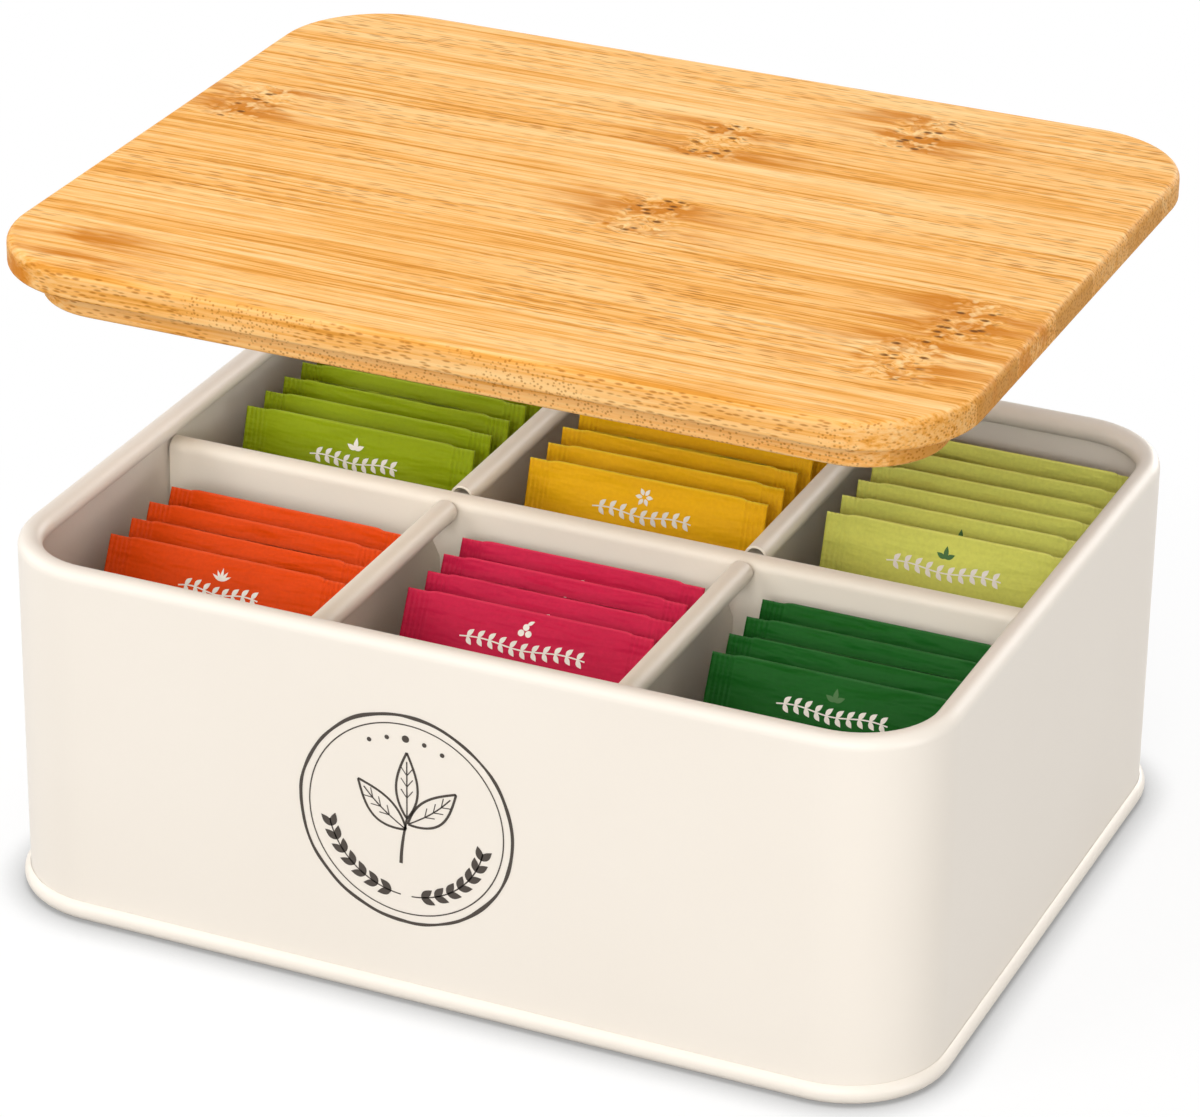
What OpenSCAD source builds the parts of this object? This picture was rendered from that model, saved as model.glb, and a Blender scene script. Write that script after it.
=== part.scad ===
// Six-compartment tea bag organizer box: a painted sheet-metal box with a curled rim,
// a seamed base, a cross-lapped divider grid, a rebated bamboo lid and its tea sachets.
// The lid is drawn lifted straight off its seat. Origin: middle of the base's resting face.

/* [Box] */
// Width of the box across its outer wall faces, left to right
box_w = 240; // [200:1:300]
// Depth of the box across its outer wall faces, front to back
box_d = 190; // [170:1:240]
// Height from the resting face to the top of the rim
box_h = 95; // [93:1:120]
// Radius of the upright corners, at the outer face of the wall
corner_r = 25; // [16:1:34]
// Thickness of the wall and base sheet
sheet_t = 0.8; // [0.5:0.1:1.2]
// Outer diameter of the rim, which curls inward
rim_d = 6; // [4.5:0.5:7]
// Slit between the end of the rim's curl and the wall
curl_gap = 0.5; // [0.3:0.1:0.8]

/* [Base] */
// How far the base seam stands out past the wall
seam_out = 1.6; // [1.2:0.1:2.4]
// Height of the base seam
seam_h = 5; // [4:0.5:8]
// Height of the base sheet's underside above the resting face
base_recess = 3; // [2:0.5:4]
// Clearance between the wall sheet and the seam that grips it
seam_fit = 0.1; // [0.05:0.05:0.2]

/* [Dividers] */
// Sheet thickness of the dividers, which are folded double
divider_t = 0.6; // [0.4:0.1:0.8]
// Outer diameter of the rolled hem along a divider's top edge
hem_d = 6; // [5:0.5:7]
// Depth of the hems' top below the rim's top
hem_drop = 9; // [8.5:0.5:12]
// Gap between a divider's ends and the walls
divider_end_gap = 0.6; // [0.3:0.1:1]
// Gap between the dividers' lower edges and the base sheet
divider_floor_gap = 0.3; // [0.2:0.1:0.6]
// Clearance on each side of a sheet in its cross-lap slot
lap_fit = 0.3; // [0.2:0.1:0.5]
// Gap between a cross divider's hem end and the long divider's hem
hem_end_gap = 1.5; // [1:0.5:3]
// How far the sheet is cut back from its hem's ends, at the upper slots' mouths
mouth_setback = 4.5; // [2:0.5:7]
// Height of the slanted shoulder from a slot's mouth down to the slot
shoulder_h = 9; // [5:1:14]

/* [Lid] */
// Thickness of the bamboo board
board_t = 7.2; // [5:0.2:12]
// Thickness of the plug glued under the board
plug_t = 7.6; // [5:0.2:8]
// How far the board reaches past the box's walls
lid_overhang = 0.5; // [0:0.5:3]
// Gap between the plug and the rim, all round
plug_gap = 1.6; // [0.8:0.2:3]
// How much rounder the board's corners are than the box's
board_corner_ease = 3; // [0:0.5:6]
// Rounding of the board's upper edge
board_top_round = 2; // [0.5:0.5:2.5]
// Rounding of the board's and plug's lower edges
lower_round = 1; // [0.5:0.5:2]
// Gap left between the board and the rim when the lid is on
lid_seat_gap = 0.3; // [0.2:0.1:0.5]
// How far the lid is drawn lifted off its seat
lid_lift = 70; // [0:5:120]

/* [Sachets] */
// Width of a sachet across its sealed side bands
sachet_w = 65; // [50:1:70]
// Height of a sachet
sachet_h = 84; // [60:1:84]
// Thickness of a filled sachet at its middle
sachet_t = 8; // [4:0.5:8.5]
// Width of each sealed side band
band_w = 6.5; // [4:0.5:9]
// Thickness of the sealed side bands
band_t = 0.8; // [0.6:0.1:1.2]
// Gap between a sachet's foot and the base sheet
sachet_floor_gap = 0.3; // [0.2:0.1:0.5]
// Backward lean of the front row's sachets, in degrees
front_lean = 26; // [18:1:27]
// Backward lean of the back row's sachets, in degrees
back_lean = 17; // [15:1:18]
// Sachets in each front compartment
front_count = 4; // [1:1:4]
// Sachets in each back compartment
back_count = 6; // [1:1:6]
// Spacing of the sachets in the front row
front_pitch = 10.1; // [9.7:0.1:11.5]
// Spacing of the sachets in the back row
back_pitch = 10.2; // [9:0.1:10.5]

/* [Hidden] */
$fn = 96;
pillow_fn = 240; // facets of the large, shallow cylinders that shape a sachet
eps = 0.01;

// Heights of the base and the dividers
floor_z = base_recess + sheet_t;
hem_top_z = box_h - hem_drop;
hem_z = hem_top_z - hem_d / 2;
divider_bottom_z = floor_z + divider_floor_gap;
web_t = 2 * divider_t;
lap_z = (divider_bottom_z + hem_top_z) / 2;
hem_bore_d = hem_d - web_t;

// Divider lengths and places: the web lies flush with one side of its hem
long_divider_len = box_w - 2 * (sheet_t + divider_end_gap);
cross_divider_len = box_d - 2 * (sheet_t + divider_end_gap);
bay_w = (box_w - 2 * sheet_t) / 3;
cross_x = bay_w / 2;
web_offset = -(hem_d - web_t) / 2;
slot_w = web_t + 2 * lap_fit;
hem_break = hem_d + 2 * hem_end_gap;
half_mouth = hem_break / 2 + mouth_setback;

// Lid outline and heights
rim_opening_w = box_w - 2 * rim_d;
rim_opening_d = box_d - 2 * rim_d;
board_w = box_w + 2 * lid_overhang;
board_d = box_d + 2 * lid_overhang;
board_r = corner_r + board_corner_ease;
plug_w = rim_opening_w - 2 * plug_gap;
plug_d = rim_opening_d - 2 * plug_gap;
plug_r = max(lower_round + 1, board_r - lid_overhang - rim_d - plug_gap);
board_z = box_h + lid_seat_gap + lid_lift;
plug_z = board_z - plug_t;
glued_edge_round = 0.2;
edge_band_share = 0.6; // breadth of a board's swept edge, as a share of its corner radius

// Sachet stacks: where the first foot stands behind the compartment's front face
front_face_y = -box_d / 2 + sheet_t;
back_face_y = web_offset + web_t / 2;
front_left_foot = 12.6;
front_mid_foot = 17.6;
front_right_foot = 18.2;
back_left_foot = 5.5;
back_mid_foot = 8.2;
back_right_foot = 11.4;

// Paint and print colours
cream = [0.93, 0.9, 0.85];
inner_cream = [0.89, 0.86, 0.8];
bamboo = [0.93, 0.71, 0.41];
bamboo_core = [0.88, 0.65, 0.37];
tea_orange = [0.85, 0.27, 0.07];
tea_berry = [0.76, 0.11, 0.27];
tea_dark_green = [0.11, 0.37, 0.15];
tea_leaf_green = [0.49, 0.57, 0.07];
tea_amber = [0.94, 0.65, 0.08];
tea_pale_green = [0.66, 0.72, 0.25];

// Rectangle with round corners, centred
module rounded_rect(w, d, r) {
    square([w - 2 * r, d], center = true);
    square([w, d - 2 * r], center = true);
    for (sx = [-1, 1], sy = [-1, 1])
        translate([sx * (w / 2 - r), sy * (d / 2 - r)]) circle(r = r);
}

// Runs a profile round a rounded rectangle. In the profile, x is the distance
// inward from the outline and y is the height.
module run_round(w, d, r) {
    for (k = [0 : 3]) {
        side = k % 2 == 0 ? d - 2 * r : w - 2 * r;
        out_x = k % 2 == 0 ? w / 2 : d / 2;
        rotate([0, 0, 90 * k]) {
            translate([out_x, side / 2, 0]) rotate([90, 0, 0])
                linear_extrude(height = side) mirror([1, 0]) children();
            translate([out_x - r, side / 2, 0])
                rotate_extrude(angle = 90) translate([r, 0]) mirror([1, 0]) children();
        }
    }
}

// Section of the wall: straight sheet below, curl at the top, a slit where the curl ends
module wall_section() {
    curl_z = box_h - rim_d / 2;
    translate([0, sheet_t]) square([sheet_t, curl_z - sheet_t]);
    translate([rim_d / 2, curl_z]) difference() {
        circle(d = rim_d);
        circle(d = rim_d - 2 * sheet_t);
        translate([sheet_t - rim_d / 2, -rim_d / 2 - eps]) square([curl_gap, rim_d / 2 + eps]);
    }
}

// Box wall, one strip bent round four corners and curled inward at the top
module wall_shell() {
    color(cream) run_round(box_w, box_d, corner_r) wall_section();
}

// Section of the base seam: a channel that grips the foot of the wall, its outer leg
// rolled into a full-round bead whose arc runs from the resting face up to the wall
module seam_section() {
    bead_r = (pow(seam_h / 2, 2) + pow(seam_out, 2)) / (2 * seam_out);
    intersection() {
        translate([bead_r - seam_out, seam_h / 2]) circle(r = bead_r);
        union() {
            translate([-seam_out, 0]) square([seam_out - seam_fit, seam_h]);
            translate([-seam_out, 0]) square([seam_out + sheet_t, sheet_t]);
        }
    }
    square([2 * sheet_t + seam_fit, sheet_t]);
    translate([sheet_t + seam_fit, 0]) square([sheet_t, floor_z]);
}

// Base: a pressed pan whose edge is seamed round the foot of the wall
module base_pan() {
    inset = sheet_t + seam_fit;
    color(cream) {
        run_round(box_w, box_d, corner_r) seam_section();
        translate([0, 0, base_recess]) linear_extrude(height = sheet_t)
            rounded_rect(box_w - 2 * inset, box_d - 2 * inset, corner_r - inset);
    }
}

// Section of a divider: two fold layers with an open round hem, flush on one side
module divider_section() {
    translate([0, hem_z]) difference() {
        circle(d = hem_d);
        circle(d = hem_bore_d);
    }
    translate([-hem_d / 2, divider_bottom_z]) difference() {
        square([web_t, hem_z - divider_bottom_z]);
        translate([hem_d / 2, hem_z - divider_bottom_z]) circle(d = hem_bore_d);
    }
}

// Long divider, left to right, with slots from below where the cross dividers pass
module long_divider() {
    color(inner_cream) difference() {
        translate([-long_divider_len / 2, 0, 0]) rotate([90, 0, 90])
            linear_extrude(height = long_divider_len) divider_section();
        for (sx = [-1, 1])
            translate([sx * cross_x + web_offset - slot_w / 2, -hem_d, 0])
                cube([slot_w, 2 * hem_d, lap_z + lap_fit]);
    }
}

// Upper slot of a cross divider, as a side view: x runs along the divider and y up.
// Its mouth is centred on the long divider's hem and slants down to that divider's sheet.
module upper_slot_outline() {
    front_edge = web_offset - slot_w / 2;
    back_edge = web_offset + slot_w / 2;
    mouth_z = hem_z - hem_d / 2;
    slant_z = mouth_z - hem_end_gap;
    polygon([[front_edge, lap_z - lap_fit], [back_edge, lap_z - lap_fit],
             [back_edge, slant_z - shoulder_h], [half_mouth, slant_z],
             [half_mouth, mouth_z], [-half_mouth, mouth_z],
             [-half_mouth, slant_z], [front_edge, slant_z - shoulder_h]]);
}

// Cross divider, front to back: slotted from above, its hem broken where the long
// divider's hem runs through, and its inner fold layer left off beside the slot
module cross_divider(x) {
    web_x = -hem_d / 2;
    color(inner_cream) translate([x, 0, 0]) difference() {
        translate([0, cross_divider_len / 2, 0]) rotate([90, 0, 0])
            linear_extrude(height = cross_divider_len) divider_section();
        translate([-hem_d, -hem_break / 2, hem_z - hem_d / 2])
            cube([2 * hem_d, hem_break, 2 * hem_d]);
        translate([web_x - eps, 0, 0]) rotate([90, 0, 90])
            linear_extrude(height = web_t + 2 * eps) upper_slot_outline();
        translate([web_x + divider_t, -half_mouth, lap_z])
            cube([divider_t + eps, 2 * half_mouth, hem_z - hem_d / 2 - lap_z]);
    }
}

module left_cross_divider() { cross_divider(-cross_x); }
module right_cross_divider() { cross_divider(cross_x); }

// Section round a board's edge: a band with its outer corners rounded
module board_edge_section(t, top_r, low_r, band) {
    translate([top_r, t - top_r]) circle(r = top_r);
    translate([low_r, low_r]) circle(r = low_r);
    translate([0, low_r]) square([band, t - low_r - top_r]);
    translate([top_r, t - top_r]) square([band - top_r, top_r]);
    translate([low_r, 0]) square([band - low_r, low_r]);
}

// Flat board with round corners and rounded edges
module edged_board(w, d, r, t, top_r, low_r) {
    band = r * edge_band_share;
    run_round(w, d, r) board_edge_section(t, top_r, low_r, band);
    linear_extrude(height = t) rounded_rect(w - 2 * band, d - 2 * band, r - band);
}

// Bamboo board that covers the rim
module lid_board() {
    color(bamboo) translate([0, 0, board_z])
        edged_board(board_w, board_d, board_r, board_t, board_top_round, lower_round);
}

// Bamboo plug under the board, which drops inside the rim and keeps the lid in place
module lid_plug() {
    color(bamboo_core) translate([0, 0, plug_z])
        edged_board(plug_w, plug_d, plug_r, plug_t, glued_edge_round, lower_round);
}

// Solid between two equal round faces, thick at the middle and zero at both edges,
// lying along the x axis: chord is its breadth and belly its thickness
module lens_bar(chord, belly, len) {
    arc_r = (chord * chord / 4 + belly * belly / 4) / belly;
    intersection_for (side = [-1, 1])
        translate([-len / 2, side * (arc_r - belly / 2), 0]) rotate([0, 90, 0])
            cylinder(r = arc_r, h = len, $fn = pillow_fn);
}

// Filled sachet standing on its foot: flat side bands and a pillow between them
module sachet_body() {
    pillow_w = sachet_w - 2 * band_w;
    translate([-sachet_w / 2, -band_t / 2, 0]) cube([sachet_w, band_t, sachet_h]);
    translate([0, 0, sachet_h / 2]) intersection() {
        lens_bar(sachet_h, sachet_t, pillow_w);
        rotate([0, 90, 0]) lens_bar(pillow_w, sachet_t, sachet_h);
    }
}

// Sachet number i of a stack, counted from 1 at the front: tipped back about its foot
module stacked_sachet(bay, first_y, pitch, lean, i) {
    translate([bay * bay_w, first_y + (i - 1) * pitch,
               floor_z + sachet_floor_gap + band_t / 2 * sin(lean)])
        rotate([-lean, 0, 0]) sachet_body();
}

module front_sachet(bay, foot, i) {
    stacked_sachet(bay, front_face_y + foot, front_pitch, front_lean, i);
}

module back_sachet(bay, foot, i) {
    stacked_sachet(bay, back_face_y + foot, back_pitch, back_lean, i);
}

module orange_sachet(i) { color(tea_orange) front_sachet(-1, front_left_foot, i); }
module berry_sachet(i) { color(tea_berry) front_sachet(0, front_mid_foot, i); }
module dark_green_sachet(i) { color(tea_dark_green) front_sachet(1, front_right_foot, i); }
module leaf_green_sachet(i) { color(tea_leaf_green) back_sachet(-1, back_left_foot, i); }
module amber_sachet(i) { color(tea_amber) back_sachet(0, back_mid_foot, i); }
module pale_green_sachet(i) { color(tea_pale_green) back_sachet(1, back_right_foot, i); }

wall_shell();
base_pan();
long_divider();
left_cross_divider();
right_cross_divider();
lid_board();
lid_plug();
for (i = [1 : front_count]) {
    orange_sachet(i);
    berry_sachet(i);
    dark_green_sachet(i);
}
for (i = [1 : back_count]) {
    leaf_green_sachet(i);
    amber_sachet(i);
    pale_green_sachet(i);
}
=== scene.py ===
import math
import random

import bmesh
import bpy
from mathutils import Matrix, Vector, noise


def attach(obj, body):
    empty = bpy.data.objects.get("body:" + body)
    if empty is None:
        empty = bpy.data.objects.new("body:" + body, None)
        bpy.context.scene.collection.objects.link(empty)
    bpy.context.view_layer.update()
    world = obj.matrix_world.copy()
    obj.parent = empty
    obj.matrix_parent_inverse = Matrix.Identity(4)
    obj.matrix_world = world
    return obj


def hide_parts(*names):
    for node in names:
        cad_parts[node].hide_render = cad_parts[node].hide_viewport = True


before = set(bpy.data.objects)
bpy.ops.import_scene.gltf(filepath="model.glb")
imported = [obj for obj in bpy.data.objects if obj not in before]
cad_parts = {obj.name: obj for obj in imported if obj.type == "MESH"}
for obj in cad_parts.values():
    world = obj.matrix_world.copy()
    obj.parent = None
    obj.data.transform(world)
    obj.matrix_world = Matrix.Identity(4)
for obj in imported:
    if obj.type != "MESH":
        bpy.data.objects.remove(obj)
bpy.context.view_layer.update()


# ---------------------------------------------------------------------------
# Box wall: one strip of 0.8 mm steel bent round four corners, with its upper
# edge curled inward. Degreased, sprayed with powder and stoved, which gives a
# satin skin with a very fine orange peel.

def linear(hex_colour):
    """sRGB hex, such as "F3EBE0", as a linear colour with alpha."""
    channels = [int(hex_colour[i:i + 2], 16) / 255 for i in (0, 2, 4)]
    return [c / 12.92 if c <= 0.04045 else ((c + 0.055) / 1.055) ** 2.4 for c in channels] + [1.0]


def add_node(owner, kind, inputs=(), **settings):
    """Adds one node to a material or world. inputs pairs a socket with a value, an output, or
    a node, which stands for its first output; settings are the node's own."""
    node = owner.node_tree.nodes.new(kind)
    for key, value in settings.items():
        setattr(node, key, value)
    for socket, value in inputs:
        if isinstance(value, bpy.types.Node):
            value = value.outputs[0]
        if isinstance(value, bpy.types.NodeSocket):
            owner.node_tree.links.new(value, node.inputs[socket])
        else:
            node.inputs[socket].default_value = value
    return node


def start_finish(name):
    """A new material, with its shader, its links and the piece's own Object coordinates."""
    m = bpy.data.materials.new(name)
    m.use_nodes = True
    place = add_node(m, "ShaderNodeTexCoord").outputs["Object"]
    return m, m.node_tree.nodes["Principled BSDF"], m.node_tree.links, place


def powder_coat(name, colour, shade):
    """Stoved powder coat: blotches some 60 mm across that the eye barely sees, and an orange
    peel of 1.1 mm. The real peel is nearer 0.6 mm, drawn coarser so that it shows."""
    m, surface, links, place = start_finish(name)
    blotch = add_node(m, "ShaderNodeTexNoise", [("Vector", place), ("Scale", 17), ("Detail", 2)])
    tint = add_node(m, "ShaderNodeMix", [("Factor", blotch), (6, linear(shade)), (7, linear(colour))],
                    data_type="RGBA")
    links.new(tint.outputs[2], surface.inputs["Base Color"])
    peel = add_node(m, "ShaderNodeTexNoise", [("Vector", place), ("Scale", 900), ("Detail", 1)])
    bump = add_node(m, "ShaderNodeBump", [("Height", peel), ("Strength", 0.09), ("Distance", 0.0002)])
    links.new(bump.outputs["Normal"], surface.inputs["Normal"])
    gloss = add_node(m, "ShaderNodeMapRange", [("Value", blotch), ("To Min", 0.40), ("To Max", 0.48)])
    links.new(gloss.outputs["Result"], surface.inputs["Roughness"])
    return m


def finish_node(node, material):
    """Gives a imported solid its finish."""
    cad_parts[node].data.materials.clear()
    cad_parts[node].data.materials.append(material)


box_coat = powder_coat("Powder_coated_steel_cream", "F3EBE0", "EFE6DA")
finish_node("wall_shell", box_coat)


# ---------------------------------------------------------------------------
# Base: the pressed bottom sheet, seamed round the foot of the wall as a bead
# and coated together with it.

finish_node("base_pan", box_coat)


# ---------------------------------------------------------------------------
# Front emblem: a round mark in dark brown ink, screen printed on the coat. A
# plain double ring round a sprig of three leaves, with a laurel below.

# a print is made upright in the plane y = 0, with x to the right and z up
upright = Matrix.Rotation(math.radians(90), 4, "X")


def add_leaf(bm, x, z, angle, length, width, bend=0.0):
    """Flat pointed leaf from its foot at x, z. The angle is from +X, in degrees; mm."""
    turn = math.radians(angle)
    made = bmesh.ops.create_grid(bm, x_segments=10, y_segments=2, size=0.5, matrix=upright)
    for v in made["verts"]:
        along = v.co.x + 0.5
        side = v.co.z * width * math.sin(math.pi * along ** 0.85) + bend * length * math.sin(math.pi * along)
        forward = along * length
        v.co = (x + forward * math.cos(turn) - side * math.sin(turn), 0,
                z + forward * math.sin(turn) + side * math.cos(turn))
    bmesh.ops.remove_doubles(bm, verts=made["verts"], dist=0.01)


def add_stroke(bm, path, width, steps=40, closed=False):
    """Line of ink along path(0..1), which returns x, z; width is a number or a function; mm."""
    made = bmesh.ops.create_grid(bm, x_segments=steps, y_segments=1, size=0.5, matrix=upright)
    for v in made["verts"]:
        t = v.co.x + 0.5
        here, ahead = Vector(path(t)), Vector(path(t + 0.002))
        along = (ahead - here).normalized()
        across = v.co.z * (width(t) if callable(width) else width)
        v.co = (here.x - along.y * across, 0, here.y + along.x * across)
    if closed:
        bmesh.ops.remove_doubles(bm, verts=made["verts"], dist=0.01)


def add_dot(bm, x, z, radius):
    """Round spot of ink; mm."""
    bmesh.ops.create_circle(bm, cap_ends=True, segments=20, radius=radius,
                            matrix=Matrix.Translation((x, 0, z)) @ upright)


def leaf_outline(length, width, side, bend):
    """One edge of a drawn leaf, as a path from foot to tip."""
    return lambda t: (t * length, (side * width / 2 + bend * length) * math.sin(math.pi * min(t, 1) ** 0.85))


def turned(path, x, z, angle):
    """The path turned by an angle in degrees and moved to x, z."""
    c, s = math.cos(math.radians(angle)), math.sin(math.radians(angle))
    return lambda t: (x + path(t)[0] * c - path(t)[1] * s, z + path(t)[0] * s + path(t)[1] * c)


def on_circle(radius, angle):
    """Point of a circle round the middle; the angle is from +X, in degrees."""
    return radius * math.cos(math.radians(angle)), radius * math.sin(math.radians(angle))


def make_piece(bm, name, material, body, replaces=()):
    """Turns a bmesh, already in place, into a piece that rides on a body."""
    mesh = bpy.data.meshes.new(name)
    bm.to_mesh(mesh)
    bm.free()
    mesh.materials.append(material)
    piece = bpy.data.objects.new(name, mesh)
    bpy.context.scene.collection.objects.link(piece)
    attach(piece, body)
    if replaces:
        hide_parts(*replaces)


def printing_ink(name, colour, roughness):
    """Screen ink lies as a thin, slightly uneven film; the grain is 0.7 mm."""
    m, surface, links, place = start_finish(name)
    film = add_node(m, "ShaderNodeTexNoise", [("Vector", place), ("Scale", 1400), ("Detail", 2)])
    thick, thin = linear(colour), [c * 0.86 for c in linear(colour)[:3]] + [1.0]
    tint = add_node(m, "ShaderNodeMix", [("Factor", film), (6, thick), (7, thin)], data_type="RGBA")
    links.new(tint.outputs[2], surface.inputs["Base Color"])
    surface.inputs["Roughness"].default_value = roughness
    return m


def outer_ring(t):
    """The outer ring strays a little from its radius, as drawn by hand."""
    x, z = math.cos(math.tau * t), math.sin(math.tau * t)
    radius = outer_ring_r + 0.28 * noise.noise(Vector((3 * x, 3 * z, 1)))
    return radius * x, radius * z


def outer_ring_width(t):
    """Its line swells and thins between about 0.6 and 1.1 mm."""
    return 0.85 + 0.35 * noise.noise(Vector((5 * math.cos(math.tau * t), 5 * math.sin(math.tau * t), 4)))


# millimetres; the emblem's middle is left of the front's, the ink stands 0.07 off the wall
emblem_x, emblem_y, emblem_z = -6.9, -95.07, 49.0
outer_ring_r, inner_ring_r, laurel_r, dots_r = 27.5, 25.2, 20.4, 21.5
outline_w, rib_w, vein_w, thin_line_w = 0.62, 0.36, 0.26, 0.34
# angle of each leaf, its length, width, bend and foot
sprig = (
    (90, 17.5, 5.6, 0.0, (0.3, 0.5)),
    (139, 16.5, 6.6, 0.05, (0.0, -2.5)),
    (41, 16.5, 6.6, -0.05, (0.6, -1.0)),
)
emblem = bmesh.new()
add_stroke(emblem, outer_ring, outer_ring_width, steps=240, closed=True)
add_stroke(emblem, lambda t: on_circle(inner_ring_r, 360 * t), thin_line_w, steps=180, closed=True)
for angle, length, width, bend, foot in sprig:
    for side in (-1, 1):
        add_stroke(emblem, turned(leaf_outline(length, width, side, bend), *foot, angle), outline_w)

    def rib(t):
        """Middle rib, up to 86% of the leaf."""
        return t * length * 0.86, bend * length * math.sin(math.pi * t * 0.86)

    add_stroke(emblem, turned(rib, *foot, angle), rib_w)
    for k in range(1, 4):
        for side in (-1, 1):
            start = length * (0.14 + 0.17 * k)

            def vein(t):
                """Side vein, 2.1 mm along the leaf and 1.55 mm across it."""
                return start + 2.1 * t, side * 1.55 * t + bend * length * math.sin(math.pi * start / length)

            add_stroke(emblem, turned(vein, *foot, angle), vein_w, steps=6)
# the stalk bends to the left and grows thicker towards its foot
add_stroke(emblem, lambda t: (0.3 - 1.6 * math.sin(1.5 * t), 0.6 - 12.5 * t),
           lambda t: 0.55 + 0.35 * t, steps=24)
for side in (-1, 1):
    for k in range(7):
        angle = -90 + side * (11 + 10.2 * k)
        for spread in (62, 122):
            add_leaf(emblem, *on_circle(laurel_r, angle), angle + side * spread, 3.9, 1.9)
    add_stroke(emblem, lambda t: on_circle(laurel_r, -90 + side * (4 + 74 * t)), thin_line_w, steps=30)
for k in range(-2, 3):
    add_dot(emblem, *on_circle(dots_r, 90 + 13 * k), 0.95 if k == 0 else 0.6)
for v in emblem.verts:
    v.co = Vector((emblem_x + v.co.x, emblem_y, emblem_z + v.co.z)) * 0.001
bmesh.ops.recalc_face_normals(emblem, faces=emblem.faces)
for f in emblem.faces:
    if f.normal.y > 0:
        f.normal_flip()
make_piece(emblem, "front_emblem", printing_ink("Screen_ink_dark_brown", "40372F", 0.55), "box")


# ---------------------------------------------------------------------------
# Dividers: steel sheet folded double along its top edge into a rolled hem, with
# cross-lap slots, coated before they are dropped into each other and the box.

# the dividers' coat is drawn paler than the box's; besides their own coat this is painted light, making up
# for the light that the hanging lid keeps off the hems
divider_coat = powder_coat("Powder_coated_steel_dividers", "FBF3E4", "F6EEDE")
for name in ("long_divider", "left_cross_divider", "right_cross_divider"):
    finish_node(name, divider_coat)


# ---------------------------------------------------------------------------
# Tea sachets: two films of printed paper sealed along ribbed side bands, with a
# tea bag between them. Each stack leans back in its compartment, the same
# places as the solids they stand for.

# millimetres; a grid column up to pillow_share of the half width lies on the pillow
sachet_w, sachet_h, band_w = 65.0, 84.0, 6.5
pillow_half = sachet_w / 2 - band_w
pillow_share = 0.44
rib_pitch, lips_from = 1.3, 58


def half_gap(x, z, seed):
    """Half the thickness of a filled sachet at a point of its face, 0.34 at the seals and up
    to 3.6 in the middle; mm."""
    across = min(1.0, abs(x) / pillow_half)
    up = min(1.0, abs(z - sachet_h / 2) / (sachet_h / 2))
    fill = (1 - across ** 2.6) * (1 - up ** 2.4)
    crease = noise.noise(Vector((x / 15, z / 7, seed)))
    return 0.34 + 3.3 * fill + 0.2 * crease * (1 - across ** 4)


def lip_gap(x, z):
    """How far each film of a parted sachet stands off towards its open top; mm."""
    rise = max(0.0, (z - lips_from) / (sachet_h - lips_from))
    return 1.1 * rise ** 1.5 * max(0.0, 1 - (abs(x) / pillow_half) ** 3)


def sachet_shape(seed, parted):
    """A filled sachet standing on its foot, front film towards -Y; mm."""
    bm = bmesh.new()
    fold = bm.verts.layers.float.new("fold")
    bmesh.ops.create_grid(bm, x_segments=100, y_segments=42, size=0.5, matrix=upright)
    for v in bm.verts:
        u = abs(v.co.x) * 2
        past = (u - pillow_share) / (1 - pillow_share)
        x = u / pillow_share * pillow_half if u < pillow_share else pillow_half + past * band_w
        v.co.x = math.copysign(x, v.co.x)
        v.co.z = sachet_h * (1 - (0.5 - v.co.z) ** 1.6)
    rear = bmesh.ops.duplicate(bm, geom=bm.verts[:] + bm.edges[:] + bm.faces[:])["geom"]
    rear = {v for v in rear if isinstance(v, bmesh.types.BMVert)}
    for v in bm.verts:
        x, z = v.co.x, v.co.z
        gap = half_gap(x, z, seed + (50 if v in rear else 0))
        inward = abs(x) - pillow_half
        rib = 0.15 * math.cos(math.tau * inward / rib_pitch) if inward > 0.3 else 0.0
        open_by = lip_gap(x, z) if parted else 0.0
        v.co.y = gap + rib + open_by if v in rear else rib - gap - open_by
        # the top 0.5 mm of each film is marked to be drawn lighter: the paper's pale cut core, with a painted
        # highlight
        v[fold] = max(0.0, 1 - (sachet_h - z) / 0.5)
        # the sealed bands shrink a little at the top
        if inward > -0.5 and z > sachet_h - 3:
            v.co.z -= 0.45 * min(1.0, (inward + 0.5) / 1.5)
    made = bmesh.ops.bridge_loops(bm, edges=[e for e in bm.edges if e.is_boundary])
    # between parted lips the top dips into a pocket 9 mm deep
    if parted:
        across_top = []
        for e in made["edges"]:
            a, b = e.verts[0].co, e.verts[1].co
            if min(a.z, b.z) > sachet_h - 0.1 and abs(a.x) < pillow_half - 1 and abs(a.x - b.x) < 0.05:
                across_top.append(e)
        middle = bmesh.ops.subdivide_edges(bm, edges=across_top, cuts=1)["geom_inner"]
        for v in middle:
            if isinstance(v, bmesh.types.BMVert):
                v.co.z -= 9 * (1 - (abs(v.co.x) / pillow_half) ** 4)
                v[fold] = 0
    bmesh.ops.recalc_face_normals(bm, faces=bm.faces)
    for f in bm.faces:
        f.smooth = True
    return bm


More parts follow.
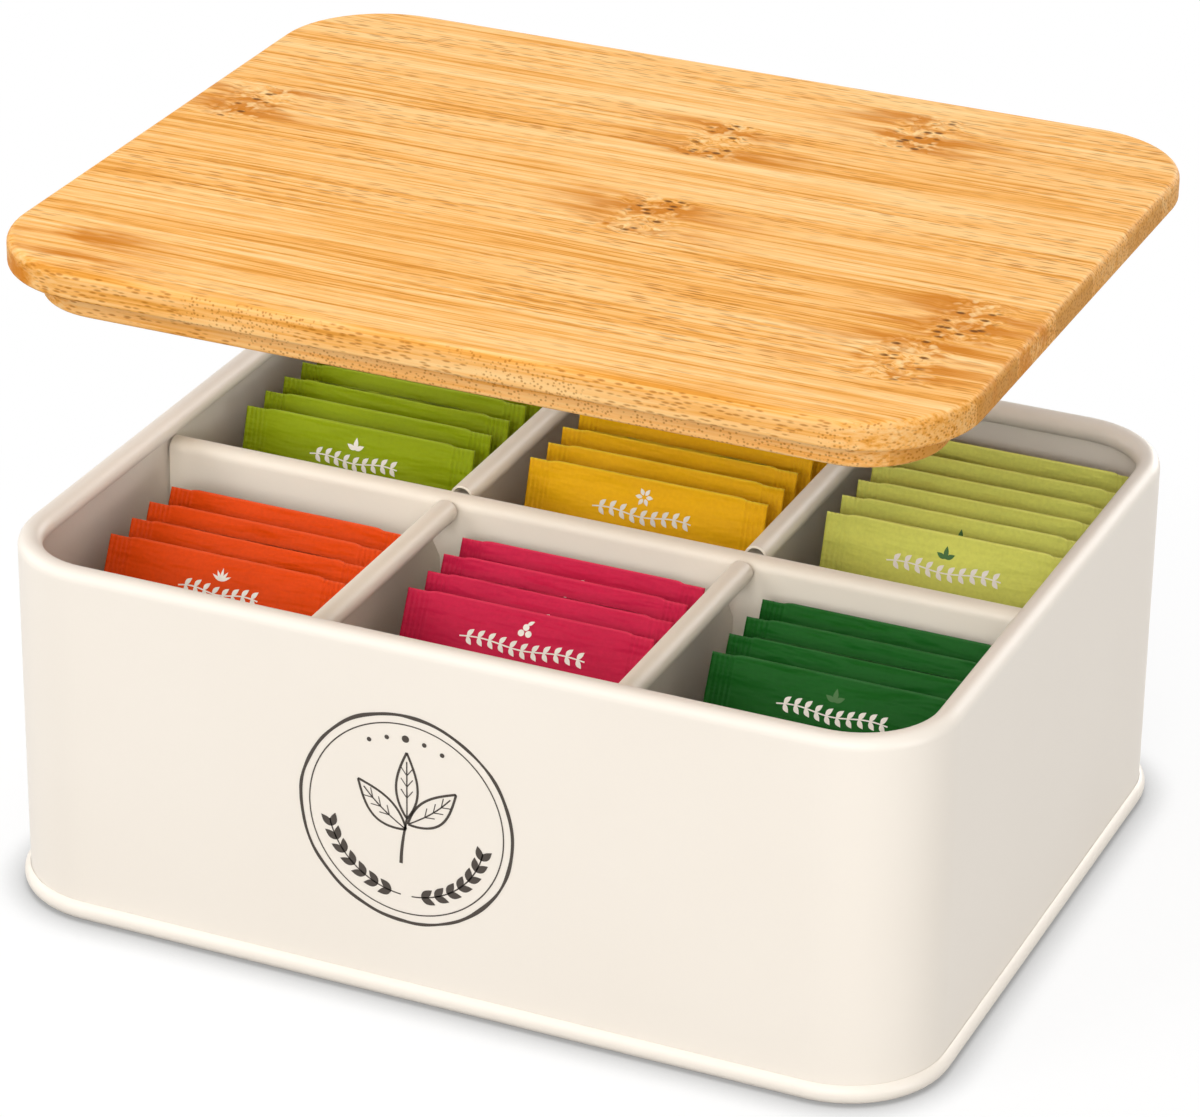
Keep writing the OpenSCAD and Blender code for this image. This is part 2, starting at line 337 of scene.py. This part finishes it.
def sachet_paper(name, colour):
    """Coated paper with a matt print: fibres of 1 mm that lift the tone a little, soft creases
    6 mm apart that lie across the sachet, and a cut top edge drawn lighter, partly the paper's pale core and
    partly a painted highlight."""
    m, surface, links, place = start_finish(name)
    fibre = add_node(m, "ShaderNodeTexNoise", [("Vector", place), ("Scale", 1000), ("Detail", 2)])
    cloud = add_node(m, "ShaderNodeTexNoise", [("Vector", place), ("Scale", 45), ("Detail", 1)])
    tone = add_node(m, "ShaderNodeMath", [(0, fibre), (1, cloud)], operation="ADD")
    level = add_node(m, "ShaderNodeMapRange", [("Value", tone), ("From Min", 0.7), ("From Max", 1.3)])
    base = linear(colour)[:3]
    deep, light = [c * 0.93 for c in base] + [1.0], [min(1.0, c * 1.05) for c in base] + [1.0]
    tint = add_node(m, "ShaderNodeMix", [("Factor", level), (6, deep), (7, light)], data_type="RGBA")
    # the cut top edge is drawn lighter: partly the paper's pale core, partly a painted highlight
    fold = add_node(m, "ShaderNodeAttribute", attribute_name="fold").outputs["Fac"]
    share = add_node(m, "ShaderNodeMath", [(0, fold), (1, 0.55)], operation="MULTIPLY")
    pale_core_and_highlight_colour = [min(1.0, 1.5 * c + 0.06) for c in base] + [1.0]
    top_edge_core_and_highlight_mix = add_node(m, "ShaderNodeMix", [("Factor", share), (6, tint.outputs[2]), (7, pale_core_and_highlight_colour)],
                    data_type="RGBA")

    # painted shade: for bounced light only, the paper's colour is made greyer and darker, so the walls around
    # get less of its tinted light than real paper would cast
    bounce_dulling = 0.7
    grey = bounce_dulling * sum(base) / 3
    bounced = add_node(m, "ShaderNodeLightPath").outputs["Is Diffuse Ray"]
    passed_on = add_node(m, "ShaderNodeMath", [(0, bounced), (1, bounce_dulling)], operation="MULTIPLY")
    dulled = add_node(m, "ShaderNodeMix", [("Factor", passed_on), (6, top_edge_core_and_highlight_mix.outputs[2]),
                                           (7, (grey, grey, grey, 1.0))], data_type="RGBA")
    links.new(dulled.outputs[2], surface.inputs["Base Color"])
    surface.inputs["Roughness"].default_value = 0.5
    surface.inputs["Specular IOR Level"].default_value = 0.1

    lying = add_node(m, "ShaderNodeMapping", [("Vector", place), ("Scale", (36, 85, 170))])
    crease = add_node(m, "ShaderNodeTexNoise", [("Vector", lying), ("Scale", 1), ("Detail", 3)])
    soft = add_node(m, "ShaderNodeBump", [("Height", crease), ("Strength", 0.8), ("Distance", 0.0035)])
    fine = add_node(m, "ShaderNodeBump", [("Height", fibre), ("Strength", 0.12), ("Distance", 0.0002),
                                          ("Normal", soft)])
    links.new(fine.outputs["Normal"], surface.inputs["Normal"])
    return m


def garland(bm, z, width, leaves):
    """Wavy stem with leaves on both sides, printed across the sachet; mm."""
    def stem(t):
        return width * (t - 0.5), z + 0.45 * math.sin(math.tau * 1.5 * t)

    add_stroke(bm, stem, thin_line_w, steps=36)
    for k in range(leaves):
        x, y = stem((k + 0.7) / (leaves + 0.4))
        for side in (-1, 1):
            add_leaf(bm, x, y, side * 52, 2.5, 1.25, 0.06 * side)


def motif(bm, kind, z):
    """Small mark above the garland; mm."""
    if kind == "rays":
        for k in range(5):
            add_leaf(bm, 0, z - 1.6, 30 + 30 * k, 3.3 if k == 2 else 2.9, 0.75)
    elif kind == "berries":
        for x, y in ((-0.95, z - 0.9), (0.95, z - 0.9), (0, z + 0.6)):
            add_dot(bm, x, y, 0.82)
        add_leaf(bm, 0.2, z + 1.2, 35, 2.0, 0.9)
    elif kind == "blossom":
        for angle in range(0, 360, 60):
            x, y = on_circle(0.5, angle)
            add_leaf(bm, x, z + y, angle, 1.9, 1.05)
    else:
        for angle, length in ((90, 3.2), (28, 2.7), (152, 2.7)):
            add_leaf(bm, 0, z - 1.5, angle, length, 1.25)


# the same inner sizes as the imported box; mm
box_w, wall_t, floor_z = 240, 0.8, 3.8
bay_w = (box_w - 2 * wall_t) / 3
front_face_y, back_face_y = -95 + wall_t, -1.8
sachet_floor_gap, band_t = 0.3, 0.8
white_ink = printing_ink("Printing_ink_white", "FFFAF0", 0.5)
leaf_ink = printing_ink("Printing_ink_leaf_green", "2F6B1C", 0.5)
# prints on the sachets behind the first sit lower, out of sight but for one mark
garland_drop, mark_drop, lower = 9.2, 4.6, 2.4
leaf_pitch, ink_proud = 2.9, 0.09
raised = {("pale_green", 1)}
parted_sachets = {("orange", 1), ("berry", 1), ("dark_green", 1), ("amber", 2), ("leaf_green", 2)}
stacks = (
    # tea, compartment, first foot's y, lean, spacing, count, paper, garland width, mark and its ink
    ("orange", -1, front_face_y + 12.6, 26, 10.1, 4, "E84A06", 22, "rays", white_ink),
    ("berry", 0, front_face_y + 17.6, 26, 10.1, 4, "D0214A", 33, "berries", white_ink),
    ("dark_green", 1, front_face_y + 18.2, 26, 10.1, 4, "165D1B", 28, "sprig", leaf_ink),
    ("leaf_green", -1, back_face_y + 5.5, 17, 10.2, 6, "95A90E", 25, "sprig", white_ink),
    ("amber", 0, back_face_y + 8.2, 17, 10.2, 6, "FFBF14", 27, "blossom", white_ink),
    ("pale_green", 1, back_face_y + 11.4, 17, 10.2, 6, "DEE26C", 30, "sprig", leaf_ink),
)
for tea, bay, first_y, lean, pitch, count, colour, garland_w, mark, mark_ink in stacks:
    paper = sachet_paper("Printed_sachet_paper_" + tea, colour)
    garlands, marks = bmesh.new(), bmesh.new()
    foot_z = floor_z + sachet_floor_gap + band_t / 2 * math.sin(math.radians(lean))
    for i in range(count):
        seed = 10 * len(tea) + 3.7 * i + 31 * bay
        chance = random.Random(int(1000 + 17 * i + 101 * len(tea) + bay))
        foot = Matrix.Translation((bay * bay_w + chance.uniform(-0.5, 0.5), first_y + i * pitch, foot_z))
        leaning = Matrix.Rotation(math.radians(-lean + chance.uniform(-0.25, 0.25)), 4, "X")
        twisted = Matrix.Rotation(math.radians(chance.uniform(-0.4, 0.4)), 4, "Z")
        place = Matrix.Scale(0.001, 4) @ foot @ leaning @ twisted
        parted = (tea, i) in parted_sachets
        body = sachet_shape(seed, parted)
        body.transform(place)
        name = f"{tea}_sachet_{i + 1}"
        make_piece(body, name + "_paper", paper, "box", [name])
        drop = 0 if i == 0 or (tea, i) in raised else lower
        for target in (garlands, marks):
            layer = bmesh.new()
            if target is garlands:
                garland(layer, sachet_h - garland_drop - drop, garland_w, round(garland_w / leaf_pitch))
            else:
                motif(layer, mark, sachet_h - mark_drop - drop)
            for v in layer.verts:
                v.co.y = -half_gap(v.co.x, v.co.z, seed) - ink_proud
                if parted:
                    v.co.y -= lip_gap(v.co.x, v.co.z)
            layer.transform(place)
            sheet = bpy.data.meshes.new("print_layer")
            layer.to_mesh(sheet)
            layer.free()
            target.from_mesh(sheet)
            bpy.data.meshes.remove(sheet)
    make_piece(garlands, tea + "_garlands", white_ink, "box")
    make_piece(marks, tea + "_marks", mark_ink, "box")


# ---------------------------------------------------------------------------
# Lid board: bamboo strips 26 mm wide, pressed and glued edge to edge, planed,
# its upper edge rounded over, and sealed with a satin lacquer.

def bamboo(name, shift):
    """Fibre bundles run along X. On the face they show as streaks 2 mm apart and dashes 1.1 mm
    apart, on the ends, and where a side cuts them aslant, as dots 0.9 mm apart, and on the rest
    of the sides as dashes. Real bundles lie half as far apart, drawn coarser so that they show.
    Knuckles cross single strips, with curled grain, pits, pale lips and a brown stain. The shift
    picks another part of the stock; metres."""
    m, surface, links, place = start_finish(name)
    stock = add_node(m, "ShaderNodeVectorMath", [(0, place), (1, shift)], operation="ADD")

    def near(spots, half_x, half_y):
        """1 round each spot and 0 away from it; metres. It stays inside the spot's own strip."""
        field = None
        for x, y in spots:
            off = add_node(m, "ShaderNodeVectorMath", [(0, stock), (1, (x, y, 0))], operation="SUBTRACT")
            off = add_node(m, "ShaderNodeVectorMath", [(0, off), (1, (1 / half_x, 1 / half_y, 0))],
                           operation="MULTIPLY")
            off = add_node(m, "ShaderNodeVectorMath", [(0, off)], operation="ABSOLUTE")
            off = add_node(m, "ShaderNodeSeparateXYZ", [(0, off)])
            along = add_node(m, "ShaderNodeMapRange", [
                ("Value", off.outputs["X"]), ("From Min", 0.1), ("From Max", 1.0),
                ("To Min", 1.0), ("To Max", 0.0)], interpolation_type="SMOOTHSTEP")
            across = add_node(m, "ShaderNodeMapRange", [
                ("Value", off.outputs["Y"]), ("From Min", 0.82), ("From Max", 1.0),
                ("To Min", 1.0), ("To Max", 0.0)])
            spot = add_node(m, "ShaderNodeMath", [(0, along), (1, across)], operation="MULTIPLY")
            if field is None:
                field = spot
            else:
                field = add_node(m, "ShaderNodeMath", [(0, field), (1, spot)], operation="MAXIMUM")
        return field

    # middles of the knuckles, each in its own strip, and of one stain without a knuckle; metres
    knuckles = ((-0.105, 0.0195), (0.011, 0.0455), (0.014, -0.0063), (0.054, 0.0714),
                (0.104, -0.0322), (0.098, -0.0581))
    lone_stain = ((-0.102, -0.081),)
    knuckle = near(knuckles, half_x=0.013, half_y=0.0134)
    stain = near(knuckles + lone_stain, half_x=0.036, half_y=0.0130)

    # the grain wanders a little everywhere, and curls round the knuckles
    middle = (0.5, 0.5, 0.5)
    wander = add_node(m, "ShaderNodeMapping", [("Vector", stock), ("Scale", (7, 24, 24))])
    sway = add_node(m, "ShaderNodeTexNoise", [("Vector", wander), ("Scale", 1), ("Detail", 1)])
    sway = add_node(m, "ShaderNodeVectorMath", [(0, sway.outputs["Color"]), (1, middle)],
                    operation="SUBTRACT")
    sway = add_node(m, "ShaderNodeVectorMath", [(0, sway), (1, (0, 0.004, 0.002))], operation="MULTIPLY")
    curl = add_node(m, "ShaderNodeTexNoise", [("Vector", stock), ("Scale", 150), ("Detail", 2)])
    curl = add_node(m, "ShaderNodeVectorMath", [(0, curl.outputs["Color"]), (1, middle)],
                    operation="SUBTRACT")
    curl_by = add_node(m, "ShaderNodeMath", [(0, knuckle), (1, 0.012)], operation="MULTIPLY")
    curl = add_node(m, "ShaderNodeVectorMath", [(0, curl), ("Scale", curl_by)], operation="SCALE")
    grain_at = add_node(m, "ShaderNodeVectorMath", [(0, stock), (1, sway)], operation="ADD")
    grain_at = add_node(m, "ShaderNodeVectorMath", [(0, grain_at), (1, curl)], operation="ADD")

    # one tone for each glued strip; the strips are counted from one of the glue lines
    strip_w, glue_line_y = 0.0259, 0.0067
    strip = add_node(m, "ShaderNodeSeparateXYZ", [(0, stock)]).outputs["Y"]
    strip = add_node(m, "ShaderNodeMath", [(0, strip), (1, glue_line_y)], operation="SUBTRACT")
    strip = add_node(m, "ShaderNodeMath", [(0, strip), (1, strip_w)], operation="DIVIDE")
    number = add_node(m, "ShaderNodeMath", [(0, strip)], operation="FLOOR")
    strip_tone = add_node(m, "ShaderNodeTexWhiteNoise", [("W", number)], noise_dimensions="1D")

    # streaks: 9 mm bands, 2 mm streaks and 1 mm lines, all long in X
    level = None
    for scale, share in (((5, 110, 110), 0.24), ((12, 560, 560), 0.38), ((26, 1250, 1250), 0.42)):
        long_at = add_node(m, "ShaderNodeMapping", [("Vector", grain_at), ("Scale", scale)])
        streak = add_node(m, "ShaderNodeTexNoise", [("Vector", long_at), ("Scale", 1), ("Detail", 2),
                                                    ("Roughness", 0.6)])
        part = add_node(m, "ShaderNodeMath", [(0, streak), (1, share)], operation="MULTIPLY")
        if level is None:
            level = part
        else:
            level = add_node(m, "ShaderNodeMath", [(0, level), (1, part)], operation="ADD")
    level = add_node(m, "ShaderNodeMath", [(0, strip_tone), (1, 0.06), (2, level)],
                     operation="MULTIPLY_ADD")
    wood = add_node(m, "ShaderNodeValToRGB", [("Fac", level)])
    stops = wood.color_ramp.elements
    stops[0].position, stops[0].color = 0.43, linear("DC943A")
    stops[1].position, stops[1].color = 0.68, linear("FFD89A")
    for position, colour in ((0.49, "F3AF5A"), (0.56, "FCC47C")):
        stops.new(position).color = linear(colour)

    # ends and sides: browner than the face, the strips apart in tone on the ends
    facing = add_node(m, "ShaderNodeNewGeometry").outputs["Normal"]
    facing = add_node(m, "ShaderNodeVectorMath", [(0, facing)], operation="ABSOLUTE")
    facing = add_node(m, "ShaderNodeSeparateXYZ", [(0, facing)])
    is_face = add_node(m, "ShaderNodeMapRange", [("Value", facing.outputs["Z"]), ("From Min", 0.72),
                                                 ("From Max", 0.92)])
    is_end = add_node(m, "ShaderNodeMapRange", [("Value", facing.outputs["X"]), ("From Min", 0.25),
                                                ("From Max", 0.85)])
    end_tone = add_node(m, "ShaderNodeMath", [(0, number), (1, 7.3)])
    end_tone = add_node(m, "ShaderNodeTexWhiteNoise", [("W", end_tone)], noise_dimensions="1D")
    end_tone = add_node(m, "ShaderNodeMath", [(0, end_tone), (1, 0.4)], operation="MULTIPLY")
    in_turn = add_node(m, "ShaderNodeMath", [(0, number), (1, 1)], operation="PINGPONG")
    end_tone = add_node(m, "ShaderNodeMath", [(0, in_turn), (1, 0.6), (2, end_tone)],
                        operation="MULTIPLY_ADD")
    end_brown = add_node(m, "ShaderNodeMapRange", [("Value", end_tone), ("To Min", 0.25), ("To Max", 0.95)])
    brown_by = add_node(m, "ShaderNodeMapRange", [("Value", is_end), ("To Min", 0.26), ("To Max", end_brown)])
    off_face = add_node(m, "ShaderNodeMath", [(0, 1.0), (1, is_face)], operation="SUBTRACT")
    brown_by = add_node(m, "ShaderNodeMath", [(0, brown_by), (1, off_face)], operation="MULTIPLY")
    cut = add_node(m, "ShaderNodeMix", [("Factor", brown_by), (6, wood), (7, linear("CC9042"))],
                   data_type="RGBA")

    # fibre bundles: long dashes on the face, dots on the ends and on part of the sides, else dashes
    bundles = []
    for scale in ((140, 900, 4), (330, 4, 1250), (1050, 4, 1150), (4, 1150, 1150)):
        at = add_node(m, "ShaderNodeMapping", [("Vector", grain_at), ("Scale", scale)])
        bundles.append(add_node(m, "ShaderNodeTexVoronoi", [("Vector", at), ("Scale", 1),
                                                            ("Randomness", 0.85)]))
    face_dashes, side_dashes, side_dots, end_dots = bundles
    aslant = add_node(m, "ShaderNodeMapping", [("Vector", stock), ("Scale", (13, 3, 60))])
    aslant = add_node(m, "ShaderNodeTexNoise", [("Vector", aslant), ("Scale", 1), ("Detail", 1)])
    aslant = add_node(m, "ShaderNodeMapRange", [("Value", aslant), ("From Min", 0.46), ("From Max", 0.50)])
    on_side = add_node(m, "ShaderNodeMix", [("Factor", aslant), (2, side_dashes), (3, side_dots)],
                       data_type="FLOAT")
    on_rim = add_node(m, "ShaderNodeMix", [("Factor", is_end), (2, on_side), (3, end_dots)],
                      data_type="FLOAT")
    distance = add_node(m, "ShaderNodeMix", [("Factor", is_face), (2, on_rim), (3, face_dashes)],
                        data_type="FLOAT")
    bundle = add_node(m, "ShaderNodeMapRange", [("Value", distance), ("From Min", 0.20), ("From Max", 0.42),
                                                ("To Min", 1.0), ("To Max", 0.0)])
    sparse = add_node(m, "ShaderNodeMapping", [("Vector", stock), ("Scale", (12, 60, 60))])
    sparse = add_node(m, "ShaderNodeTexNoise", [("Vector", sparse), ("Scale", 1), ("Detail", 1)])
    on_face = add_node(m, "ShaderNodeMapRange", [("Value", sparse), ("From Min", 0.38), ("From Max", 0.62),
                                                 ("To Min", 0.14), ("To Max", 0.52)])
    strength = add_node(m, "ShaderNodeMapRange", [("Value", is_face), ("To Min", 0.62), ("To Max", on_face)])
    bundle = add_node(m, "ShaderNodeMath", [(0, bundle), (1, strength)], operation="MULTIPLY")
    marked = add_node(m, "ShaderNodeMix", [("Factor", bundle), (6, cut.outputs[2]),
                                           (7, linear("A05C0C"))], data_type="RGBA")

    # knuckles: a streaky brown stain, pale lips and dark pits
    streaky = add_node(m, "ShaderNodeMapping", [("Vector", grain_at), ("Scale", (38, 230, 230))])
    streaky = add_node(m, "ShaderNodeTexNoise", [("Vector", streaky), ("Scale", 1), ("Detail", 3)])
    streaky = add_node(m, "ShaderNodeMapRange", [("Value", streaky), ("From Min", 0.43), ("From Max", 0.60),
                                                 ("To Max", 0.9)])
    stained_by = add_node(m, "ShaderNodeMath", [(0, streaky), (1, stain)], operation="MULTIPLY")
    stained = add_node(m, "ShaderNodeMix", [("Factor", stained_by), (6, marked.outputs[2]),
                                            (7, linear("CC7A18"))], data_type="RGBA")
    deep = add_node(m, "ShaderNodeMapRange", [("Value", knuckle), ("From Min", 0.45), ("From Max", 0.85)])
    lip = add_node(m, "ShaderNodeTexNoise", [("Vector", stock), ("Scale", 330), ("Detail", 1)])
    lip = add_node(m, "ShaderNodeMapRange", [("Value", lip), ("From Min", 0.58), ("From Max", 0.68),
                                             ("To Max", 0.6)])
    lip = add_node(m, "ShaderNodeMath", [(0, lip), (1, deep)], operation="MULTIPLY")
    lipped = add_node(m, "ShaderNodeMix", [("Factor", lip), (6, stained.outputs[2]),
                                           (7, linear("FFDCA0"))], data_type="RGBA")
    pit = add_node(m, "ShaderNodeMapping", [("Vector", stock), ("Scale", (230, 380, 4))])
    pit = add_node(m, "ShaderNodeTexVoronoi", [("Vector", pit), ("Scale", 1), ("Randomness", 1)])
    pit = add_node(m, "ShaderNodeMapRange", [("Value", pit), ("From Min", 0.17), ("From Max", 0.33),
                                             ("To Min", 0.9), ("To Max", 0.0)])
    pit = add_node(m, "ShaderNodeMath", [(0, pit), (1, deep)], operation="MULTIPLY")
    pitted = add_node(m, "ShaderNodeMix", [("Factor", pit), (6, lipped.outputs[2]),
                                           (7, linear("683A0A"))], data_type="RGBA")
    links.new(pitted.outputs[2], surface.inputs["Base Color"])
    surface.inputs["Roughness"].default_value = 0.5
    surface.inputs["Specular IOR Level"].default_value = 0.04
    relief = add_node(m, "ShaderNodeBump", [("Height", level), ("Strength", 0.25), ("Distance", 0.0004)])
    links.new(relief.outputs["Normal"], surface.inputs["Normal"])
    return m


finish_node("lid_board", bamboo("Bamboo_board_lacquered", (0, 0, 0)))


# ---------------------------------------------------------------------------
# Lid plug: a second bamboo board, smaller all round, glued under the first so
# that it drops inside the rim.

finish_node("lid_plug", bamboo("Bamboo_plug_lacquered", (0.31, 0.012, 0.05)))


# ---------------------------------------------------------------------------
# Studio: pale floor, white surroundings and soft lamps.

def sees_background(owner):
    """1 for what the camera, a reflection or glass sees of the surroundings, else 0."""
    path = add_node(owner, "ShaderNodeLightPath").outputs
    seen = add_node(owner, "ShaderNodeMath", [(0, path["Is Camera Ray"]), (1, path["Is Glossy Ray"])],
                    operation="MAXIMUM")
    return add_node(owner, "ShaderNodeMath", [(0, seen), (1, path["Is Transmission Ray"])],
                    operation="MAXIMUM")


# matt white paper that glows white where the camera sees it; a painted contact shadow darkens the glow in the
# hollow under the box's bead, and near the box it glows less, so that the lamps' own shadows show
floor_paper, surface, links, place = start_finish("Studio_paper_white")
surface.inputs["Roughness"].default_value = 0.9
painted_contact_shadow = add_node(floor_paper, "ShaderNodeAmbientOcclusion", [("Distance", 0.013)], samples=16)
shaded = add_node(floor_paper, "ShaderNodeMapRange", [
    ("Value", painted_contact_shadow.outputs["AO"]), ("From Min", 0.38), ("From Max", 0.92),
    ("To Min", 0.30), ("To Max", 1.0)])
glow = add_node(floor_paper, "ShaderNodeEmission", [("Color", (1, 1, 1, 1)), ("Strength", shaded)])
seen = sees_background(floor_paper)
paleness = add_node(floor_paper, "ShaderNodeMapRange", [("Value", seen), ("To Min", 0.3), ("To Max", 0.95)])
links.new(paleness.outputs["Result"], surface.inputs["Base Color"])
from_middle = add_node(floor_paper, "ShaderNodeVectorMath", [(0, place)], operation="LENGTH")
whiter = add_node(floor_paper, "ShaderNodeMapRange", [
    ("Value", from_middle.outputs["Value"]), ("From Min", 0.12), ("From Max", 0.28),
    ("To Min", 0.75), ("To Max", 1.0)])
glow_share = add_node(floor_paper, "ShaderNodeMath", [(0, seen), (1, whiter)], operation="MULTIPLY")
both = add_node(floor_paper, "ShaderNodeMixShader", [(0, glow_share), (1, surface), (2, glow)])
links.new(both.outputs[0], floor_paper.node_tree.nodes["Material Output"].inputs["Surface"])

ground = bmesh.new()
bmesh.ops.create_grid(ground, x_segments=1, y_segments=1, size=4,
                      matrix=Matrix.Translation((0, 0, -0.0002)))
floor_mesh = bpy.data.meshes.new("studio_floor")
ground.to_mesh(floor_mesh)
ground.free()
floor_mesh.materials.append(floor_paper)
floor = bpy.data.objects.new("studio_floor", floor_mesh)
bpy.context.scene.collection.objects.link(floor)

world = bpy.data.worlds.new("Studio_world")
bpy.context.scene.world = world
world.use_nodes = True
sky = world.node_tree.nodes["Background"]
level = add_node(world, "ShaderNodeMapRange", [("Value", sees_background(world)), ("To Min", 0.19),
                                               ("To Max", 1.0)])
sky.inputs["Color"].default_value = (1, 1, 1, 1)
world.node_tree.links.new(level.outputs["Result"], sky.inputs["Strength"])

# each lamp: its place and side in metres, its power in watts, its colour
neutral, warm = (1.0, 0.995, 0.99), (1.0, 0.993, 0.98)
lamps = (
    ("front_softbox", (0.40, -1.70, 0.90), 1.0, 20.0, warm),
    ("left_front_softbox", (-0.95, -1.35, 1.05), 0.9, 10.0, neutral),
    ("right_softbox", (1.75, -0.46, 0.13), 0.24, 8.9, warm),
    ("rear_softbox", (0.50, 1.75, 0.50), 0.85, 16.0, neutral),
    ("left_softbox", (-1.75, -0.20, 0.85), 1.2, 11.0, neutral),
    ("top_softbox", (0.0, 0.1, 1.9), 1.2, 12.2, neutral),
)
lit_point = Vector((0, 0, 0.06))
for name, place, side, power, colour in lamps:
    lamp_data = bpy.data.lights.new(name, "AREA")
    lamp_data.shape, lamp_data.size, lamp_data.energy, lamp_data.color = "SQUARE", side, power, colour
    lamp = bpy.data.objects.new(name, lamp_data)
    bpy.context.scene.collection.objects.link(lamp)
    lamp.location = place
    lamp.rotation_mode = "QUATERNION"
    lamp.rotation_quaternion = (lit_point - Vector(place)).to_track_quat("-Z", "Y")


# ---------------------------------------------------------------------------
# Camera: the photograph's viewpoint, a long lens from the front right, looking
# down 25.5 degrees. The frame is moved 12 pixels to hold the whole lid, which
# hangs straight above the box here.

photo_w, photo_h = 1200, 1117
focal_px, axis_x, axis_y, moved = 4870, 565.5, 487.18, 12
azimuth, elevation, roll = math.radians(23.86), math.radians(25.52), math.radians(0.69)
back = Vector((math.sin(azimuth) * math.cos(elevation), -math.cos(azimuth) * math.cos(elevation),
               math.sin(elevation)))
right = (-back).cross(Vector((0, 0, 1))).normalized()
up = right.cross(-back)
right, up = right * math.cos(roll) + up * math.sin(roll), up * math.cos(roll) - right * math.sin(roll)
camera_data = bpy.data.cameras.new("camera")
camera = bpy.data.objects.new("camera", camera_data)
bpy.context.scene.collection.objects.link(camera)
camera.matrix_world = (Matrix.Translation((0.43121, -0.98862, 0.61055))
                       @ Matrix((right, up, back)).transposed().to_4x4())
camera_data.sensor_width = 36
camera_data.lens = focal_px * 36 / photo_w
camera_data.shift_x = (photo_w / 2 - axis_x - moved) / photo_w
camera_data.shift_y = (axis_y - photo_h / 2) / photo_w
camera_data.clip_start, camera_data.clip_end = 0.05, 20
bpy.context.scene.camera = camera
bpy.context.scene.view_settings.view_transform = "Standard"
